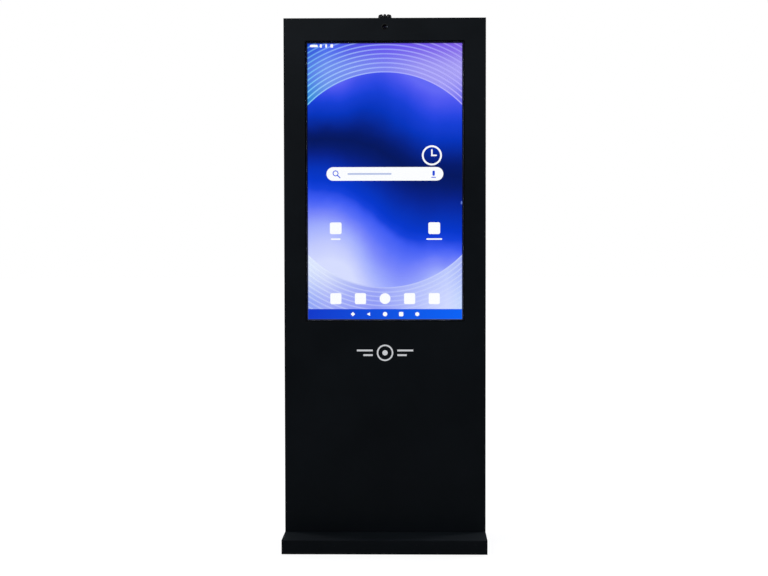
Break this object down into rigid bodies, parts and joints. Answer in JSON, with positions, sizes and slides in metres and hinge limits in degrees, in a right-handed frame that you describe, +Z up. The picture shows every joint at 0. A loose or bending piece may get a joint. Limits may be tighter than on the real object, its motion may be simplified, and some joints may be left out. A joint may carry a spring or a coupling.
{
  "type": "touchscreen kiosk",
  "caption": "Free-standing steel kiosk with a portrait touchscreen, a camera above it, lockable service doors behind and a wide base on levelling feet.",
  "frame": {"origin": "on the floor, under the middle of the base", "axes": "+Z up, -Y out of the screen towards the user, +X to the user's right"},
  "size_m": [0.686, 0.42, 1.8174],
  "materials": {
    "black_steel": "satin black powder coat, fine texture",
    "zinc_steel": "bright zinc-plated sheet steel",
    "black_plastic": "moulded matte black",
    "knob_plastic": "moulded satin black",
    "grey_plastic": "moulded dark grey",
    "foot_rubber": "moulded black rubber pad on a threaded stem",
    "chrome": "polished nickel-chrome",
    "aluminium": "satin anodised or mill finish",
    "touch_glass": "clear tempered glass, polished",
    "lens_glass": "coated camera lens",
    "picture": null,
    "panel": "back of the display module, moulded frame with a foil shield",
    "lead_pvc": "smooth black PVC",
    "printed_white": "white screen-printed ink",
    "foam": "closed-cell foam sealing strip",
    "board": "green circuit board with components",
    "copper": "bright copper and brass contacts"
  },
  "bodies": {
    "housing": {"base_plate": "zinc_steel", "column_floor": "zinc_steel", "upright_left": "zinc_steel", "upright_right": "zinc_steel", "equipment_plate": "zinc_steel", "camera_bracket": "zinc_steel", "upper_hinge_top_pin": "zinc_steel", "upper_hinge_bottom_pin": "zinc_steel", "lower_hinge_top_pin": "zinc_steel", "lower_hinge_bottom_pin": "zinc_steel", "base_cover": "black_steel", "front_cover": "black_steel", "side_panel_left": "black_steel", "side_panel_right": "black_steel", "top_panel": "black_steel", "rear_rail_middle": "black_steel", "rear_rail_bottom": "black_steel", "upper_hinge_top_frame_leaf": "black_steel", "upper_hinge_bottom_frame_leaf": "black_steel", "lower_hinge_top_frame_leaf": "black_steel", "lower_hinge_bottom_frame_leaf": "black_steel", "ir_touch_frame": "black_plastic", "fan_housing_left": "black_plastic", "fan_housing_right": "black_plastic", "speaker_left": "black_plastic", "speaker_right": "black_plastic", "mains_inlet": "black_plastic", "network_socket": "black_plastic", "start_button_ring": "chrome", "media_player": "aluminium", "power_supply": "aluminium", "touch_glass": "touch_glass", "screen_picture": "picture", "screen_panel": "panel", "mains_lead": "lead_pvc", "wiring_loom": "lead_pvc"},
    "upper_door": {"upper_door": "black_steel", "upper_lock_barrel": "chrome", "upper_hinge_top_door_leaf": "black_steel", "upper_hinge_bottom_door_leaf": "black_steel"},
    "upper_lock": {"upper_lock_plug": "chrome", "upper_lock_cam": "zinc_steel"},
    "lower_door": {"lower_door": "black_steel", "lower_lock_barrel": "chrome", "lower_hinge_top_door_leaf": "black_steel", "lower_hinge_bottom_door_leaf": "black_steel"},
    "lower_lock": {"lower_lock_plug": "chrome", "lower_lock_cam": "zinc_steel"},
    "fan_rotor_left": {"fan_rotor_left": "black_plastic"},
    "fan_rotor_right": {"fan_rotor_right": "black_plastic"},
    "camera": {"camera_body": "black_plastic", "camera_lens": "lens_glass"},
    "clamp_knob": {"camera_clamp_knob": "knob_plastic"},
    "rocker_switch": {"rocker_switch": "black_plastic"},
    "fuse_drawer": {"fuse_drawer": "grey_plastic"},
    "start_button": {"start_button": "aluminium"},
    "foot_front_left": {"foot_front_left": "foot_rubber"},
    "foot_front_right": {"foot_front_right": "foot_rubber"},
    "foot_rear_left": {"foot_rear_left": "foot_rubber"},
    "foot_rear_right": {"foot_rear_right": "foot_rubber"}
  },
  "joints": [
    {"name": "upper_door_hinge", "type": "hinge", "parent": "housing", "child": "upper_door", "pos_m": [-0.313, 0.0595, 1.279], "axis": [0, 0, 1], "range_deg": [0, 110]},
    {"name": "upper_lock_turn", "type": "hinge", "parent": "upper_door", "child": "upper_lock", "pos_m": [0.28, 0.055, 1.279], "axis": [0, -1, 0], "range_deg": [0, 90]},
    {"name": "lower_door_hinge", "type": "hinge", "parent": "housing", "child": "lower_door", "pos_m": [-0.313, 0.0595, 0.445], "axis": [0, 0, 1], "range_deg": [0, 110]},
    {"name": "lower_lock_turn", "type": "hinge", "parent": "lower_door", "child": "lower_lock", "pos_m": [0.28, 0.055, 0.445], "axis": [0, -1, 0], "range_deg": [0, 90]},
    {"name": "fan_left_spin", "type": "hinge", "parent": "housing", "child": "fan_rotor_left", "pos_m": [-0.13, 0.01, 1.68], "axis": [0, 1, 0], "continuous": true},
    {"name": "fan_right_spin", "type": "hinge", "parent": "housing", "child": "fan_rotor_right", "pos_m": [0.13, 0.01, 1.68], "axis": [0, 1, 0], "continuous": true},
    {"name": "camera_tilt", "type": "hinge", "parent": "housing", "child": "camera", "pos_m": [0, -0.037, 1.77], "axis": [1, 0, 0], "range_deg": [-10, 10]},
    {"name": "clamp_knob_turn", "type": "hinge", "parent": "housing", "child": "clamp_knob", "pos_m": [0, -0.002, 1.8004], "axis": [0, 0, 1], "range_deg": [0, 360]},
    {"name": "rocker_switch_rock", "type": "hinge", "parent": "housing", "child": "rocker_switch", "pos_m": [-0.23, 0.0535, 0.109], "axis": [1, 0, 0], "range_deg": [-14, 0]},
    {"name": "fuse_drawer_slide", "type": "slide", "parent": "housing", "child": "fuse_drawer", "axis": [0, 1, 0], "range_m": [0, 0.014]},
    {"name": "start_button_press", "type": "slide", "parent": "housing", "child": "start_button", "axis": [0, -1, 0], "range_m": [0, 0.0015], "stiffness_N_per_m": 400, "springref_m": -0.001},
    {"name": "foot_front_left_height", "type": "slide", "parent": "housing", "child": "foot_front_left", "axis": [0, 0, -1], "range_m": [0, 0.01]},
    {"name": "foot_front_right_height", "type": "slide", "parent": "housing", "child": "foot_front_right", "axis": [0, 0, -1], "range_m": [0, 0.01]},
    {"name": "foot_rear_left_height", "type": "slide", "parent": "housing", "child": "foot_rear_left", "axis": [0, 0, -1], "range_m": [0, 0.01]},
    {"name": "foot_rear_right_height", "type": "slide", "parent": "housing", "child": "foot_rear_right", "axis": [0, 0, -1], "range_m": [0, 0.01]}
  ]
}
